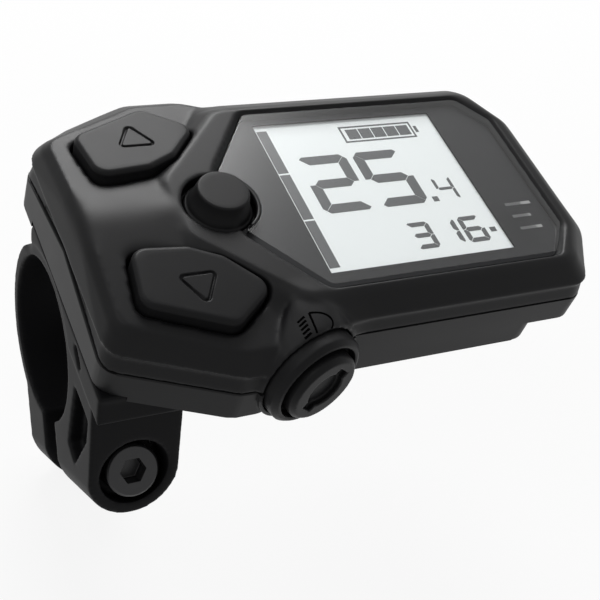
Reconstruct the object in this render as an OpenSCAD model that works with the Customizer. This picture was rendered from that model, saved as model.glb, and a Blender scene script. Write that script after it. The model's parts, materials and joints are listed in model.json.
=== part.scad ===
// Handlebar display and switch unit for an e-bike, with its clamp.
// The origin is the centre of the clamp's bore: X runs along the bar towards the display,
// Y forward and Z up, square to the display's glass.

/* [Handlebar clamp] */
// Radius of the handlebar that the clamp holds
bar_r = 11.1; // [10.9:0.05:12.7]
// Width of the clamp along the handlebar
clamp_w = 12.6; // [11:0.2:16]
// Wall of the clamp ring
ring_wall = 1.8; // [1.5:0.1:2.4]
// Distance between the bar and the case's underside
saddle_t = 1.4; // [1.2:0.1:4]
// Depth to which the saddle sits in the case's underside
saddle_sink = 0.8; // [0.4:0.1:1.2]
// Step between the saddle's sides and the ring
ring_step = 0.3; // [0.1:0.1:0.6]
// Distance from the bar's axis to the saddle's rider side
saddle_front = 20.2; // [19:0.2:22]
// Distance from the bar's axis to the saddle's far side
saddle_back = 8.6; // [8:0.2:11]
// Width of the split between the ears
split_w = 5.2; // [3:0.2:6]
// Angle of the split below the horizontal, on the rider's side
split_deg = 50; // [45:1:55]
// Distance from the bar's surface to the bolt's axis
bolt_off = 3.9; // [3.7:0.1:5]
// Radius of the rounded end of the ears
ear_r = 6.1; // [5.8:0.1:6.6]
// Distance from the split's middle to the near ear's face at the bolt
near_ear = 16.3; // [14:0.1:18]
// Distance from the split's middle to the far ear's face
far_ear = 9.9; // [8.5:0.1:12]
// Slope of the near ear's face against the bolt's axis
ear_face_deg = 20; // [0:1:25]

/* [Case] */
// Length of the case along the bar
case_l = 71.3; // [69:0.5:80]
// Offset of the case's middle from the bar's axis, towards the rider
deck_off = 2.4; // [1:0.1:4]
// Half depth of the pod at its widest
pod_half = 23; // [22:0.5:26]
// Half depth of the pod's straight left end
pod_side = 16.4; // [14:0.2:18]
// Half depth of the display end
disp_half = 19.5; // [18.5:0.5:21]
// Height of the pod's lower shell at the sides
pod_lower_h = 4.6; // [3.4:0.1:6]
// Rise of the parting line from the sides of the pod to its middle
parting_rise = 2.8; // [1:0.1:4]
// Height of the bottom cover
cover_h = 3.8; // [3:0.1:5]
// Height of the lower shell's wall above the bottom cover
disp_lower_h = 3.9; // [3.2:0.1:5]
// Height of the glass above the parting line at the display
deck_h = 5.3; // [5.1:0.1:7]
// Tilt of each key field away from the middle
roof_deg = 7.5; // [5:0.5:10]
// Wall of the shells
wall = 1.6; // [1.3:0.1:2]
// Thickness of the deck under the keys and round the glass
deck_t = 2.2; // [2:0.1:2.6]
// Width of the sloped flank round the display's top
flank_w = 3.3; // [2:0.1:4]
// Width of the sloped flank round the pod's top
pod_flank_w = 1.8; // [1:0.1:3]
// Radius of the case's corners seen from above
corner_r = 3; // [2:0.2:4]
// Length of the bottom cover's overhang that the case keeps at the right end
cover_gap = 9.5; // [7:0.5:14]

/* [Window and panel] */
// Distance from the case's right end to the glass
glass_end = 5.3; // [4.8:0.1:7]
// Distance from the display's long sides to the glass
glass_side = 4.4; // [4.2:0.1:5.5]
// Thickness of the glass
glass_t = 1.2; // [0.8:0.1:1.4]
// Thickness of the adhesive frame under the glass
tape_t = 0.25; // [0.15:0.05:0.4]
// Width of the groove round the glass
groove_w = 0.7; // [0.4:0.1:1]
// Depth of the groove round the glass
groove_h = 0.6; // [0.3:0.1:0.8]
// Distance from the glass's right end to the panel
panel_end = 8.3; // [7:0.1:10]
// Distance from the glass's long sides to the panel
panel_side = 1; // [1:0.1:2]
// Thickness of the panel
panel_t = 1.6; // [1.2:0.1:2]

/* [Keys] */
// Distance from the pod's left end to a key
key_off = 4.35; // [4.2:0.05:5]
// Distance from a key to the pod's right end
key_end = 11.85; // [11.7:0.05:14]
// Distance from a key to the pod's widest line
key_side = 4.35; // [4.3:0.05:6]
// Distance from the middle of the case to a key's near edge
key_near = 5.95; // [5.8:0.05:7]
// Height of the keys' tops above the glass, at the case's middle line
key_proud = 1.2; // [0.8:0.1:1.8]
// Tilt of each key's top away from the middle
key_deg = 5.6; // [4:0.1:7.5]
// Travel of a thumb key
key_travel = 1; // [0.5:0.1:1.1]
// Radius of the mode button's opening
mode_hole_r = 4.8; // [4.5:0.1:5.2]
// Radius of the mode button's cap
mode_r = 3.2; // [2.8:0.1:3.6]
// Height of the mode button's cap above the glass
mode_proud = 2.1; // [1.2:0.1:3]
// Travel of the mode button
mode_travel = 0.9; // [0.5:0.1:1]

/* [Light button] */
// Outer radius of the collar round the light button
collar_r = 6.75; // [6.55:0.05:7]
// Radius of the light button
light_r = 5; // [4.6:0.1:5.2]
// Distance from the collar's rim to its inner end
collar_l = 3.4; // [3.2:0.1:3.8]
// Distance from the collar's rim to the board behind the button
light_depth = 6; // [5.6:0.1:6.2]
// Height of the button above the collar's rim
light_proud = 1.2; // [0.5:0.1:1.6]
// Travel of the light button
light_travel = 0.8; // [0.4:0.1:1]
// Turn of the button's axis from the rider towards the display
light_deg = 15; // [10:1:18]
// Rise of the button's axis
light_rise = 3; // [0:1:5]
// Height of the button's axis above the case's underside
light_h = 5; // [4.2:0.1:5.5]

/* [Boards and socket] */
// Thickness of the circuit boards
board_t = 1; // [0.8:0.1:1.2]
// Height of a tactile switch's body
switch_h = 1.6; // [1.2:0.1:1.8]
// Height of a tactile switch's plunger
plunger_h = 0.4; // [0.3:0.1:0.5]
// Side of a tactile switch
switch_w = 4.8; // [4.5:0.1:5]
// Radius of the cable socket's bore
socket_r = 2.4; // [2:0.1:2.8]
// Wall of the cable socket
socket_wall = 0.8; // [0.6:0.1:1.2]

/* [Screws] */
// Radius of the clamp bolt
bolt_r = 2; // [1.75:0.25:2.5]
// Radius of the clamp bolt's head
bolt_head_r = 3.5; // [3:0.1:4]
// Radius of the bolt head's counterbore
counterbore_r = 4.5; // [4.2:0.1:4.8]
// Radius of the small screws
screw_r = 1; // [0.8:0.1:1.2]
// Radius of the small screws' heads
screw_head_r = 1.8; // [1.6:0.1:2.1]
// Height of the small screws' heads
screw_head_h = 1; // [0.8:0.1:1.2]

/* [Fits] */
// Gap round a key or button in its opening
key_gap = 0.25; // [0.15:0.05:0.35]
// Gap between a fixed piece and its pocket
fit_gap = 0.1; // [0.05:0.05:0.2]
// Gap that a switch keeps when its key is pressed home
press_gap = 0.15; // [0.1:0.05:0.3]

/* [Hidden] */
$fn = 48;
// Overrun of every cut past the face that it opens
over = 0.5;
// Thickness of the plates that span a hull
sliver = 0.02;
hull_fn = 32;

// Levels of the case above the bar's axis
floor_t = 2.1;
disp_floor_t = 1.4;
crease_drop = 2.7;
pod_lip_h = 3;
base_z = bar_r + saddle_t;
saddle_top = base_z + saddle_sink;
cover_top = base_z + cover_h;
pod_part_z = base_z + pod_lower_h;
ridge_part_z = pod_part_z + parting_rise;
disp_part_z = cover_top + disp_lower_h;
deck_z = disp_part_z + deck_h;
crease_z = deck_z - crease_drop;
pod_crease_z = pod_part_z + pod_lip_h;
ceiling_z = deck_z - deck_t;
pod_floor_z = base_z + floor_t;
disp_floor_z = cover_top + disp_floor_t;

// Outline of the case seen from above: the pod is one convex figure and the display another
left_x = -clamp_w / 2;
right_x = left_x + case_l;
mid_y = -deck_off;
pod_l = 33;
pod_front_shares = [[0.455, 1], [0.597, 1]];
pod_back_shares = [[0.676, 1], [0.455, 1]];
neck_shares = [0.727, 1, 0.872];
pod_outline = [
    [0, -pod_side], for (s = pod_front_shares) [s[0] * pod_l, -s[1] * pod_half],
    [neck_shares[0] * pod_l, -neck_shares[2] * disp_half],
    [neck_shares[1] * pod_l, neck_shares[2] * disp_half],
    for (s = pod_back_shares) [s[0] * pod_l, s[1] * pod_half], [0, pod_side]];
end_chamfer = 5;
end_chamfer_d = 8.6;
wedge_shares = [0.312, 0.308];
shoulder_share = 0.706;
disp_outline = [
    [wedge_shares[0] * pod_l, -wedge_shares[1] * disp_half], [shoulder_share * pod_l, -disp_half],
    [case_l - end_chamfer, -disp_half], [case_l, -disp_half + end_chamfer_d],
    [case_l, disp_half - end_chamfer_d], [case_l - end_chamfer, disp_half],
    [shoulder_share * pod_l, disp_half], [wedge_shares[0] * pod_l, wedge_shares[1] * disp_half]];

// Rounded corners of a convex outline, drawn in by an inset
module rounded(points, inset) {
    offset(r = corner_r, $fn = hull_fn) offset(delta = -corner_r - inset)
        translate([left_x, mid_y]) polygon(points);
}
module pod_shape(inset) rounded(pod_outline, inset);
module disp_shape(inset) rounded(disp_outline, inset);

// Plane of one key field, which falls away from the case's middle line to one side
module on_roof(side) {
    translate([0, mid_y, deck_z]) mirror([0, side < 0 ? 1 : 0, 0]) rotate([-roof_deg, 0, 0])
        children();
}

// A plate that lies on both key fields, like a low roof
module roof_plate(inset, drop) {
    for (side = [-1, 1]) on_roof(side)
        translate([0, 0, -drop - sliver]) linear_extrude(sliver) intersection() {
            translate([0, -mid_y]) pod_shape(inset);
            translate([left_x, 0]) square([case_l, pod_half + over]);
        }
}

// Top of the case above the crease, drawn in and lowered by its wall for the hollow
edge_w = 0.9;
edge_h = 0.5;
module crown(inset, drop) {
    hull() {
        translate([0, 0, pod_crease_z - drop]) linear_extrude(sliver) pod_shape(inset);
        roof_plate(inset + pod_flank_w - edge_w, drop + 2 * edge_h);
        roof_plate(inset + pod_flank_w, drop);
    }
    hull() {
        translate([0, 0, crease_z - drop]) linear_extrude(sliver) disp_shape(inset);
        translate([0, 0, deck_z - drop - edge_h - sliver])
            linear_extrude(sliver) disp_shape(inset + flank_w - edge_w);
        translate([0, 0, deck_z - drop - sliver]) linear_extrude(sliver) disp_shape(inset + flank_w);
    }
}

// The scoop under the crease runs out to the full outline at the parting line
scoop_w = 0.6;
scoop_lap = 0.15;
module scoop() {
    hull() {
        translate([0, 0, pod_part_z - scoop_lap]) linear_extrude(sliver) pod_shape(0);
        translate([0, 0, pod_crease_z + scoop_lap]) linear_extrude(sliver) pod_shape(scoop_w);
    }
    hull() {
        translate([0, 0, disp_part_z - scoop_lap]) linear_extrude(sliver) disp_shape(0);
        translate([0, 0, crease_z + scoop_lap]) linear_extrude(sliver) disp_shape(scoop_w);
    }
}

// Upright walls of the pod and of the display
module walls(inset, low, pod_high, disp_high) {
    translate([0, 0, low]) linear_extrude(pod_high - low) pod_shape(inset);
    translate([0, 0, low]) linear_extrude(disp_high - low) disp_shape(inset);
}

// Everything below the parting surface, which is a low roof in the pod and level at the display
step_share = 0.712;
part_step_x = left_x + step_share * pod_l;
module below_parting(lift) {
    step = part_step_x - lift;
    translate([left_x - over, mid_y, lift]) rotate([90, 0, 90])
        linear_extrude(step - left_x + 2 * over) polygon([
            [-case_l, 0], [case_l, 0], [case_l, pod_part_z], [pod_side, pod_part_z],
            [0, ridge_part_z], [-pod_side, pod_part_z], [-case_l, pod_part_z]]);
    translate([step, mid_y - case_l, lift]) cube([case_l, 2 * case_l, disp_part_z]);
}

// Cord seal that lies in the parting surface, halfway through the wall
seal_w = 0.7;
module seal_ring() {
    intersection() {
        difference() {
            walls((wall - seal_w) / 2, base_z, deck_z, deck_z);
            walls((wall + seal_w) / 2, base_z - over, deck_z + over, deck_z + over);
        }
        difference() {
            below_parting(seal_w / 2);
            below_parting(-seal_w / 2);
        }
    }
}

// Screws that close the case: two at the sides and two at the right end, each with its boss top
boss_r = 2;
side_screw_d = disp_half - wall - boss_r / 2;
back_screw_d = pod_half - wall - boss_r - fit_gap;
end_screw_d = disp_half - end_chamfer_d - boss_r - 4 * fit_gap;
back_screw_share = 0.63;
side_screw_off = 1.8;
case_screw_places = [
    [left_x + back_screw_share * pod_l, back_screw_d, base_z, pod_crease_z + edge_w],
    [left_x + pod_l + side_screw_off, -side_screw_d, cover_top, crease_z],
    [right_x - end_chamfer, -end_screw_d, cover_top, ceiling_z + deck_t / 2],
    [right_x - end_chamfer, end_screw_d, cover_top, ceiling_z + deck_t / 2]];

// Outline of the glass: a pointed left end that stops at the mode button
mode_share = 0.582;
mode_x = left_x + mode_share * pod_l;
glass_off = 9;
glass_x = mode_x + glass_off;
glass_l = right_x - glass_end - glass_x;
glass_half = disp_half - glass_side;
glass_tip = 7.3;
tip_half = 5.2;
glass_chamfer = 3.5;
glass_chamfer_d = 4.7;
glass_points = [
    [-glass_tip, -tip_half], [0, -glass_half], [glass_l - glass_chamfer, -glass_half],
    [glass_l, -glass_half + glass_chamfer_d], [glass_l, glass_half - glass_chamfer_d],
    [glass_l - glass_chamfer, glass_half], [0, glass_half], [-glass_tip, tip_half]];
glass_corner_r = 1.2;
glass_rim = 0.5;
module glass_shape(grow) {
    difference() {
        offset(r = glass_corner_r + grow, $fn = hull_fn) offset(delta = -glass_corner_r)
            translate([glass_x, mid_y]) polygon(glass_points);
        translate([mode_x, mid_y]) circle(r = mode_hole_r + glass_rim - grow / 2);
    }
}
ledge_t = 1;
recess_z = deck_z - glass_t - tape_t;

// The panel stands in the opening of the deck, just under the glass
panel_gap = 0.05;
panel_x = glass_x + fit_gap;
panel_y = mid_y + fit_gap;
panel_l = glass_l - fit_gap - panel_end;
panel_d = 2 * (glass_half - panel_side);
panel_z = recess_z - panel_gap - panel_t;
module panel_box(grow, low, high) {
    translate([panel_x - grow, panel_y - panel_d / 2 - grow, low])
        cube([panel_l + 2 * grow, panel_d + 2 * grow, high - low]);
}

// Outline of a thumb key in shares of its length and depth, and the plane of its top
key_shares = [[0.054, 0], [0.48, 0.053], [0.715, 0.21], [1, 0.63], [0.63, 1], [0, 0.635]];
key_x = left_x + key_off;
key_l = pod_l - key_off - key_end;
key_d = pod_half - key_near - key_side;
key_corner_r = 1.6;
module key_shape(grow) {
    offset(r = key_corner_r + grow, $fn = hull_fn) offset(delta = -key_corner_r)
        translate([key_x, key_near]) polygon([for (s = key_shares) [s[0] * key_l, s[1] * key_d]]);
}
module on_key(side) {
    translate([0, mid_y, deck_z + key_proud]) mirror([0, side < 0 ? 1 : 0, 0])
        rotate([-key_deg, 0, 0]) children();
}

// Frame of the light button: +Z points out of the case along the button's travel
light_share = 0.759;
light_x = left_x + light_share * pod_l;
light_reach = 0.6;
light_y = mid_y - pod_half - light_reach;
light_z = base_z + light_h;
module light_frame() {
    translate([light_x, light_y, light_z]) rotate([0, 0, light_deg]) rotate([90 - light_rise, 0, 0])
        children();
}

// Sleeve of the shells round the collar, and the stepped bore in it for the collar and the board
sleeve_wall = 0.65;
sleeve_r = collar_r + sleeve_wall;
sleeve_back = 2;
light_board_r = 4;
module light_sleeve(deep) {
    light_frame() translate([0, 0, -deep]) cylinder(h = deep - sleeve_back, r = sleeve_r);
}
module light_cup(grow) {
    light_frame() translate([0, 0, -light_depth - 2 * board_t])
        cylinder(h = light_depth, r = light_board_r + fit_gap + grow);
}
module light_bore() {
    light_frame() translate([0, 0, -collar_l - fit_gap])
        cylinder(h = 4 * collar_l, r = collar_r + fit_gap);
    light_cup(0);
}

// Boards on their bosses
board_rise = 0.7;
switch_board_z = pod_floor_z + board_rise;
switch_top = switch_board_z + board_t + switch_h + plunger_h;
switch_board_off = 3;
switch_board_x = left_x + switch_board_off;
switch_tip = 2.3;
switch_board_l = mode_x + switch_tip - switch_board_x;
switch_board_w = 13;
switch_board_half = pod_side - wall + 2 * fit_gap;
tongue_half = 7.6;
main_board_z = disp_floor_z + board_rise;
main_board_off = 1.5;
main_board_x = part_step_x + main_board_off;
main_board_end = 8.8;
main_board_l = right_x - main_board_end - main_board_x;
main_board_half = disp_half - 3 * wall;
switch_d = key_near + key_d / 2 - fit_gap;
switch_places = [[key_x + key_l / 2, -switch_d], [key_x + key_l / 2, switch_d], [mode_x, 0]];
screw_edge = 2.1;
switch_screw_d = 9.6;
main_screw_d = main_board_half - screw_edge - screw_r - fit_gap;
switch_screw_places = [
    [switch_board_x + screw_edge, -switch_screw_d], [switch_board_x + screw_edge, switch_screw_d]];
main_screw_places = [
    [main_board_x + main_board_l - screw_edge, -main_screw_d],
    [main_board_x + main_board_l - screw_edge, main_screw_d],
    [main_board_x + screw_edge, main_screw_d]];

// Bottom cover under the display
cover_off = 1;
cover_step = 0.2;
cover_x = part_step_x + cover_off;
cover_end = right_x - cover_gap;
cover_half = disp_half - cover_step;
cover_wall = 1.2;
cover_screw_edge = 3.5;
cover_screw_in = 6.9;
cover_screw_d = cover_half - cover_screw_in;
cover_screw_places = [for (x = [cover_x + cover_screw_edge, cover_end - cover_screw_edge])
    for (side = [-1, 1]) [x, side * cover_screw_d]];
module cover_shape(inset) {
    offset(r = corner_r - inset, $fn = hull_fn) offset(delta = -corner_r)
        translate([cover_x, mid_y - cover_half]) square([cover_end - cover_x, 2 * cover_half]);
}

// Cable socket in the underside, past the bar
socket_off = 14;
socket_in = 6.1;
socket_d = cover_half - socket_in;
socket_x = cover_x + socket_off;
socket_y = mid_y + socket_d;
socket_top = main_board_z;
socket_depth = 4.4;

// Frame of the clamp's split: -Y runs out through the split and +Z along the bolt to its head
module split_frame() rotate([split_deg, 0, 0]) children();
function from_split(d, t) =
    [-d * cos(split_deg) - t * sin(split_deg), -d * sin(split_deg) + t * cos(split_deg)];
bolt_d = bar_r + bolt_off;
ear_end = bolt_d + ear_r;
ring_r = bar_r + ring_wall;
ring_w = clamp_w - 2 * ring_step;
head_recess = 0.5;
bolt_head_h = 4;
bolt_l = 21.5;
head_t = near_ear - head_recess;
nut_af = 7;
nut_h = 3.2;
hex_af = 3;
hex_h = 2.2;
thread_gap = 0.02;
hex_share = 1 / cos(30);

// Side profiles of the saddle block and of the ears
saddle_h = 3.9;
saddle_low = saddle_top - saddle_h;
saddle_lean = 1;
saddle_back_lean = 2.9;
saddle_profile = [
    [saddle_back, saddle_top], [-saddle_front, saddle_top], [-saddle_front, base_z],
    [-saddle_front - saddle_lean, saddle_low], [0, saddle_low],
    [saddle_back + saddle_back_lean, saddle_low], [saddle_back, base_z]];
ear_root = 4;
ear_rise = bolt_d - ear_root;
ear_inner_share = 0.72;
ear_profile = [
    from_split(bolt_d - ear_rise, near_ear + ear_rise * tan(ear_face_deg)),
    from_split(ear_end + over, near_ear - (ear_r + over) * tan(ear_face_deg)),
    from_split(ear_end + over, -far_ear), from_split(ear_inner_share * bar_r, -far_ear), [0, 0],
    [0, saddle_low + saddle_lean]];
module along_bar(l) translate([-l / 2, 0, 0]) rotate([90, 0, 90]) linear_extrude(l) children();

// Outline of the ears seen along the bolt: straight sides and a round end
module ear_outline() {
    low = -2 * far_ear;
    high = 2 * near_ear + far_ear;
    split_frame() translate([0, -bolt_d, low]) {
        translate([-ring_w / 2 - over, 0, 0])
            cube([ring_w + 2 * over, 2 * bolt_d + saddle_front, high - low]);
        cylinder(h = high - low, r = ear_r);
    }
}

// Coring pockets in both sides of the near ear, which leave a web round the bolt
pocket_web = 7.8;
pocket_d = 6.2;
pocket_h = 10.2;
pocket_back = ring_r - ring_step;
pocket_low = 4.2;
pocket_shares = [[0, 1], [0.87, 1], [1, 0.69], [0.76, 0], [0.27, 0.05], [0.11, 0.57]];
pocket_shape = [for (s = pocket_shares) [-pocket_back - s[0] * pocket_d, -pocket_low + s[1] * pocket_h]];
side_slot_l = 3;
side_slot_w = 0.9;
side_slot_deg = 27;
side_slot_d = 13.3;

// Saddle screws from inside the case
saddle_screw_x = 2.7;
saddle_screw_y = [-16.2, 3.4];
saddle_screw_l = 2;
saddle_screw_places = [for (x = [-saddle_screw_x, saddle_screw_x]) for (y = saddle_screw_y) [x, y]];

// The part's places hold children at points measured from the case's middle line
module at(places) for (p = places) translate([p[0], mid_y + p[1], 0]) children();

module upper_case() color([0.13, 0.13, 0.14]) {
    cowl_w = 4;
    difference() {
        union() {
            difference() {
                union() {
                    crown(0, 0);
                    scoop();
                    // Cowl that runs from the deck's edge to the light button
                    hull() {
                        light_sleeve(2 * sleeve_back, $fn = hull_fn);
                        translate([light_x - cowl_w / 2, mid_y - disp_half + flank_w, deck_z - 2 * edge_h])
                            cube([cowl_w, edge_w, edge_h]);
                    }
                }
                difference() {
                    union() {
                        crown(wall, deck_t);
                        walls(wall + sliver, base_z, pod_crease_z - deck_t + scoop_lap,
                            crease_z - deck_t + scoop_lap);
                    }
                    // Ledge under the glass
                    translate([0, 0, recess_z - ledge_t]) linear_extrude(deck_t) glass_shape(0);
                }
            }
            for (p = case_screw_places) translate([p[0], mid_y + p[1], pod_part_z])
                cylinder(h = p[3] - pod_part_z, r = boss_r);
        }
        below_parting(0);
        seal_ring();
        // Openings of the keys and of the mode button, with a flat seat for its seal
        for (side = [-1, 1]) on_key(side)
            translate([0, 0, -deck_h]) linear_extrude(2 * deck_h) key_shape(key_gap);
        translate([mode_x, mid_y, ceiling_z - deck_t]) {
            cylinder(h = 2 * deck_t + over, r = mode_hole_r);
            cylinder(h = deck_t, r = mode_seal_r + fit_gap);
        }
        // Recess of the glass, the groove round it and the opening for the panel
        translate([0, 0, recess_z]) linear_extrude(deck_t) glass_shape(fit_gap);
        translate([0, 0, deck_z - groove_h]) linear_extrude(deck_t) glass_shape(groove_w);
        panel_box(2 * fit_gap, base_z, deck_z);
        light_bore();
        at(case_screw_places) translate([0, 0, base_z])
            cylinder(h = cover_h + case_screw_l + fit_gap, r = screw_r + thread_gap);
    }
}

module lower_case() color([0.16, 0.16, 0.17]) {
    difference() {
        union() {
            difference() {
                intersection() {
                    walls(0, base_z, deck_z, deck_z);
                    below_parting(0);
                }
                difference() {
                    walls(wall, pod_floor_z, deck_z, deck_z);
                    // Floor of the display end, and the cup that holds the light button's board
                    translate([part_step_x - wall, mid_y - pod_half, base_z])
                        cube([case_l, 2 * pod_half, disp_floor_z - base_z]);
                    light_cup(sleeve_wall);
                }
                // Room for the bottom cover
                translate([part_step_x, mid_y - pod_half, base_z - over])
                    cube([case_l, 2 * pod_half, cover_h + over]);
            }
            // Bosses of the case screws and of the boards
            intersection() {
                for (p = case_screw_places) translate([p[0], mid_y + p[1], p[2]])
                    cylinder(h = deck_z - base_z, r = boss_r);
                below_parting(0);
            }
            at(switch_screw_places) translate([0, 0, base_z])
                cylinder(h = switch_board_z - base_z, r = boss_r);
            at(main_screw_places) translate([0, 0, cover_top])
                cylinder(h = main_board_z - cover_top, r = boss_r);
            intersection() {
                light_sleeve(2 * sleeve_back);
                below_parting(0);
            }
        }
        seal_ring();
        light_bore();
        for (p = case_screw_places) translate([p[0], mid_y + p[1], p[2] - over]) {
            cylinder(h = deck_z - base_z, r = screw_r + fit_gap);
            cylinder(h = screw_head_h + over, r = screw_head_r + fit_gap);
        }
        at(switch_screw_places) translate([0, 0, base_z + over])
            cylinder(h = deck_h, r = screw_r + thread_gap);
        at(main_screw_places) translate([0, 0, cover_top + over])
            cylinder(h = deck_h, r = screw_r + thread_gap);
        at(cover_screw_places) translate([0, 0, cover_top - over])
            cylinder(h = disp_floor_t, r = screw_r + thread_gap);
        // Seat of the saddle, open at the left wall, and its screw holes
        translate([left_x - over, -saddle_front - fit_gap, base_z - over])
            cube([clamp_w + over + fit_gap, saddle_front + saddle_back + 2 * fit_gap, saddle_sink + over]);
        for (p = saddle_screw_places) translate([p[0], p[1], base_z - over])
            cylinder(h = deck_h, r = screw_r + fit_gap);
        translate([socket_x, socket_y, base_z]) cylinder(h = deck_h * 2, r = socket_r + socket_wall + fit_gap);
    }
}

module bottom_cover() color([0.15, 0.15, 0.16]) {
    difference() {
        translate([0, 0, base_z]) linear_extrude(cover_h) cover_shape(0);
        difference() {
            translate([0, 0, base_z + cover_wall]) linear_extrude(cover_h) cover_shape(cover_wall);
            at(cover_screw_places) translate([0, 0, base_z]) cylinder(h = cover_h, r = boss_r);
            translate([socket_x, socket_y, base_z])
                cylinder(h = cover_h, r = socket_r + socket_wall + cover_wall);
            light_frame() translate([0, 0, -2 * sleeve_back - cover_wall])
                cylinder(h = 3 * sleeve_back, r = sleeve_r + cover_wall);
        }
        at(cover_screw_places) translate([0, 0, base_z - over]) {
            cylinder(h = cover_h + 2 * over, r = screw_r + fit_gap);
            cylinder(h = screw_head_h + over, r = screw_head_r + fit_gap);
        }
        translate([socket_x, socket_y, base_z - over])
            cylinder(h = cover_h + 2 * over, r = socket_r + socket_wall + fit_gap);
        light_frame() translate([0, 0, -2 * sleeve_back - fit_gap])
            cylinder(h = 4 * sleeve_back, r = sleeve_r + fit_gap);
        light_cup(sleeve_wall + fit_gap);
    }
}

module clamp_bracket() color([0.14, 0.14, 0.15]) {
    difference() {
        union() {
            rotate([0, 90, 0]) cylinder(h = ring_w, r = ring_r, center = true, $fn = 96);
            along_bar(clamp_w) polygon(saddle_profile);
            difference() {
                intersection() {
                    along_bar(ring_w) polygon(ear_profile);
                    ear_outline();
                }
                for (side = [-1, 1]) translate([side * (pocket_web + clamp_w) / 2, 0, 0])
                    along_bar(clamp_w) polygon(pocket_shape);
            }
        }
        rotate([0, 90, 0]) cylinder(h = clamp_w + 2 * over, r = bar_r, center = true, $fn = 96);
        // Step between the saddle's sides and the ring
        for (side = [-1, 1]) translate([side * (ring_w + clamp_w) / 2, 0, 0])
            rotate([0, 90, 0]) cylinder(h = clamp_w, r = ring_r, center = true, $fn = 96);
        // Flat top that meets the case
        translate([-clamp_w, -2 * bar_r, saddle_top]) cube([2 * clamp_w, 4 * bar_r, bar_r]);
        split_frame() {
            translate([-clamp_w, -bolt_d - 2 * ear_r, -split_w / 2])
                cube([2 * clamp_w, bolt_d + 2 * ear_r, split_w]);
            translate([0, -bolt_d, -far_ear - over])
                cylinder(h = near_ear + far_ear + clamp_w, r = bolt_r + fit_gap);
            translate([0, -bolt_d, head_t - bolt_head_h])
                cylinder(h = clamp_w, r = counterbore_r);
            translate([0, -bolt_d, -far_ear - clamp_w])
                cylinder(h = clamp_w + nut_h + fit_gap, r = (nut_af / 2 + fit_gap) * hex_share, $fn = 6);
        }
        // Narrow slot in the side of the saddle
        translate([left_x - over, -side_slot_d, saddle_low + side_slot_w]) rotate([side_slot_deg, 0, 0])
            cube([side_slot_w * 2 + over, side_slot_l, side_slot_w]);
        for (p = saddle_screw_places) translate([p[0], p[1], saddle_top - saddle_screw_l])
            cylinder(h = saddle_screw_l + over, r = screw_r + thread_gap);
    }
}

module clamp_bolt() color([0.2, 0.2, 0.21]) {
    chamfer = 0.35;
    split_frame() translate([0, -bolt_d, head_t - bolt_head_h]) difference() {
        union() {
            rotate_extrude() polygon([
                [0, 0], [bolt_head_r, 0], [bolt_head_r, bolt_head_h - chamfer],
                [bolt_head_r - chamfer, bolt_head_h], [0, bolt_head_h]]);
            translate([0, 0, -bolt_l]) cylinder(h = bolt_l + over, r = bolt_r);
        }
        translate([0, 0, bolt_head_h - hex_h])
            cylinder(h = hex_h + over, r = hex_af / 2 * hex_share, $fn = 6);
    }
}

module clamp_nut() color([0.55, 0.55, 0.56]) {
    split_frame() translate([0, -bolt_d, -far_ear]) difference() {
        cylinder(h = nut_h, r = nut_af / 2 * hex_share, $fn = 6);
        translate([0, 0, -over]) cylinder(h = nut_h + 2 * over, r = bolt_r + thread_gap);
    }
}

// Small screw: the head's outer face lies at zero and the shank runs along +Z
socket_shares = [0.45, 0.6];
module small_screw(l) {
    difference() {
        union() {
            cylinder(h = screw_head_h, r = screw_head_r);
            cylinder(h = l, r = screw_r);
        }
        translate([0, 0, -over])
            cylinder(h = over + screw_head_h * socket_shares[1], r = screw_head_r * socket_shares[0], $fn = 6);
    }
}

module saddle_screws() color([0.6, 0.6, 0.6]) {
    for (p = saddle_screw_places) translate([p[0], p[1], pod_floor_z + screw_head_h]) mirror([0, 0, 1])
        small_screw(screw_head_h + pod_floor_z - saddle_top + saddle_screw_l - fit_gap);
}

module display_window() color([0.08, 0.08, 0.09]) {
    translate([0, 0, deck_z - glass_t]) linear_extrude(glass_t) glass_shape(0);
}

module window_tape() color([0.1, 0.1, 0.1]) {
    difference() {
        translate([0, 0, recess_z]) linear_extrude(tape_t) glass_shape(-fit_gap);
        panel_box(4 * fit_gap, recess_z - over, deck_z);
    }
}

module lcd_panel() color([0.92, 0.93, 0.93]) panel_box(0, panel_z, panel_z + panel_t);

lcd_frame_w = 0.8;
lcd_ribbon_w = 14;
ribbon_t = 0.2;
ribbon_lap = 1;
lcd_edge = panel_y - panel_d / 2 - lcd_frame_w;
lcd_ribbon_x = panel_x + (panel_l - lcd_ribbon_w) / 2;
module lcd_frame() color([0.85, 0.85, 0.83]) {
    difference() {
        panel_box(lcd_frame_w, main_board_z + board_t, recess_z - ledge_t - fit_gap);
        panel_box(fit_gap, panel_z, deck_z);
        at(main_screw_places) translate([0, 0, main_board_z])
            cylinder(h = board_t + screw_head_h + fit_gap, r = screw_head_r + 2 * fit_gap);
        translate([lcd_ribbon_x - fit_gap, lcd_edge - over, panel_z - ribbon_t])
            cube([lcd_ribbon_w + 2 * fit_gap, over + lcd_frame_w + ribbon_lap + fit_gap, deck_h]);
    }
}

module lcd_ribbon() color([0.75, 0.5, 0.2]) {
    low = main_board_z + board_t;
    lap = lcd_edge + lcd_frame_w + ribbon_lap;
    translate([lcd_ribbon_x, 0, 0]) rotate([90, 0, 90]) linear_extrude(lcd_ribbon_w) polygon([
        [lcd_edge, low], [lcd_edge, panel_z - ribbon_t], [lap, panel_z - ribbon_t], [lap, panel_z],
        [lcd_edge - ribbon_t, panel_z], [lcd_edge - ribbon_t, low]]);
}

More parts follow.
